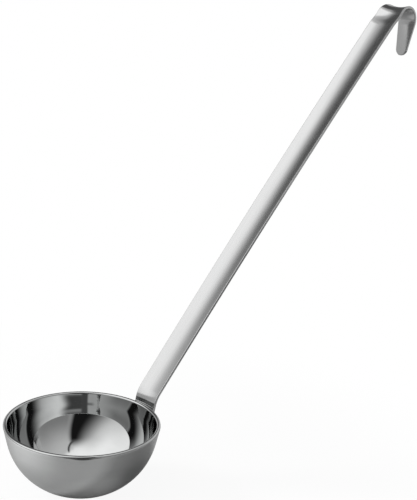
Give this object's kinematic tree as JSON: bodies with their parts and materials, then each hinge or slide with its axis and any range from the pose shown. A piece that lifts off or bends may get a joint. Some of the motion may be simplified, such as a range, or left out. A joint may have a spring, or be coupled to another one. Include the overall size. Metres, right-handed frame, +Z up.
{
  "type": "soup ladle",
  "caption": "Stainless steel soup ladle: round polished bowl, and a long dished strip handle with a tapered hook, spot welded to the bowl's outside.",
  "frame": {"origin": "lowest point of the bowl's outside, on the bowl's axis", "axes": "+Z up along the bowl's axis with the rim level, +X the way the handle leans, +Y across the handle"},
  "size_m": [0.3327, 0.1, 0.3097],
  "materials": {
    "bowl_steel": "drawn stainless steel, polished",
    "handle_steel": "stainless steel strip, fine grain along its length",
    "weld_steel": "fused steel, hidden between bowl and foot"
  },
  "bodies": {
    "root": {"bowl": "bowl_steel", "handle": "handle_steel", "weld_left": "weld_steel", "weld_right": "weld_steel", "weld_low": "weld_steel"}
  },
  "joints": []
}
